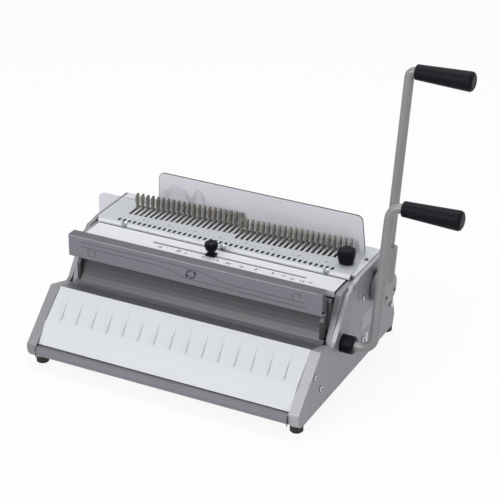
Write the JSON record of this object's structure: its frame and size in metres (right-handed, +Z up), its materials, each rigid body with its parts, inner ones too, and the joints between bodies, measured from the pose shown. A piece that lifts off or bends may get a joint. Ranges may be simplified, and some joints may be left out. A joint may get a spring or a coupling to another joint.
{
  "type": "wire binding machine",
  "caption": "Desk machine with two side levers that punches a row of square holes in paper and closes wire combs in a front bar.",
  "frame": {"origin": "centre of the whole outline on the desk, under the feet", "axes": "+X to the operator's right, the side of the levers; +Y to the back; +Z up"},
  "size_m": [0.6234, 0.347, 0.4452],
  "materials": {
    "white_paint": "satin",
    "grey_paint": "fine texture",
    "light_grey_paint": "satin",
    "dark_paint": "satin",
    "bright_steel": "brushed",
    "chrome": "polished",
    "silver_paint": "satin",
    "nickel": "nickel plated",
    "tool_steel": "ground",
    "black_plastic": "semi gloss",
    "rubber": "matte"
  },
  "bodies": {
    "machine": {"base_plate": "grey_paint", "closing_bed": "dark_paint", "closing_bush": "black_plastic", "closing_guide_left": "bright_steel", "closing_guide_right": "bright_steel", "deck": "white_paint", "die_block": "tool_steel", "foot_front_left": "rubber", "foot_front_right": "rubber", "foot_rear_left": "rubber", "foot_rear_right": "rubber", "frame_plate_left": "dark_paint", "frame_plate_right": "dark_paint", "front_panel": "white_paint", "paper_table": "light_grey_paint", "plate_bolt_1": "bright_steel", "plate_bolt_2": "bright_steel", "plate_bolt_3": "bright_steel", "punch_guide": "tool_steel", "rear_cover": "white_paint", "side_cover_left": "grey_paint", "side_cover_right": "grey_paint", "side_nut": "bright_steel", "side_screw_1": "bright_steel", "side_screw_2": "bright_steel", "side_screw_3": "bright_steel", "side_screw_4": "bright_steel", "side_wing": "light_grey_paint", "slide_frame": "bright_steel", "tie_bar_front": "bright_steel", "tie_bar_rear": "bright_steel", "top_plate": "light_grey_paint"},
    "closing_lever": {"closing_shaft": "bright_steel", "closing_lever_rod": "silver_paint", "closing_grip": "black_plastic"},
    "closing_bar_group": {"closing_bar": "grey_paint", "closing_arm_left": "tool_steel", "closing_arm_right": "tool_steel"},
    "punch_lever": {"punch_shaft": "bright_steel", "punch_ring": "chrome", "punch_hub": "silver_paint", "punch_lever_rod": "silver_paint", "punch_grip": "black_plastic"},
    "left_punches": {"punch_set_left": "nickel"},
    "right_punches": {"punch_set_right": "nickel"},
    "side_stop_slider": {"side_stop": "black_plastic"},
    "side_stop_screw": {"side_stop_knob": "black_plastic"},
    "dial": {"margin_dial": "black_plastic"},
    "depth_bar": {"depth_stop": "bright_steel"},
    "tray": {"chip_tray": "dark_paint", "chip_tray_front": "grey_paint"}
  },
  "joints": [
    {"name": "punching", "type": "hinge", "parent": "machine", "child": "punch_lever", "pos_m": [-0.05365, 0.0832, 0.1175], "axis": [1, 0, 0], "range_deg": [0, 80]},
    {"name": "left_punch_slide", "type": "slide", "parent": "machine", "child": "left_punches", "axis": [0, -1, 0], "range_m": [0, 0.014]},
    {"name": "right_punch_slide", "type": "slide", "parent": "machine", "child": "right_punches", "axis": [0, -1, 0], "range_m": [0, 0.014]},
    {"name": "closing", "type": "hinge", "parent": "machine", "child": "closing_lever", "pos_m": [-0.05365, -0.0293, 0.079], "axis": [1, 0, 0], "range_deg": [0, 80]},
    {"name": "closing_bar_slide", "type": "slide", "parent": "machine", "child": "closing_bar_group", "axis": [0, 0, -1], "range_m": [0, 0.026], "stiffness_N_per_m": 180, "springref_m": -0.06},
    {"name": "side_stop_slide", "type": "slide", "parent": "machine", "child": "side_stop_slider", "axis": [1, 0, 0], "range_m": [-0.084, 0.138]},
    {"name": "side_stop_clamp", "type": "hinge", "parent": "side_stop_slider", "child": "side_stop_screw", "pos_m": [-0.05515, -0.0078, 0.1585], "axis": [0, 0, 1], "range_deg": [0, 180]},
    {"name": "dial_turn", "type": "hinge", "parent": "machine", "child": "dial", "pos_m": [0.13135, 0.0497, 0.1695], "axis": [0, 0, 1], "range_deg": [0, 90]},
    {"name": "depth_stop_lift", "type": "slide", "parent": "machine", "child": "depth_bar", "axis": [0, 0, 1], "range_m": [0, 0.004]},
    {"name": "tray_slide", "type": "slide", "parent": "machine", "child": "tray", "axis": [0, -1, 0], "range_m": [0, 0.15]}
  ],
  "couplings": [
    {"joint": "left_punch_slide", "follows": "punching", "m_per_rad": 0.010025},
    {"joint": "right_punch_slide", "follows": "punching", "m_per_rad": 0.010025},
    {"joint": "closing_bar_slide", "follows": "closing", "m_per_rad": 0.01862},
    {"joint": "dial_turn", "follows": "depth_stop_lift", "rad_per_m": 392.6}
  ]
}
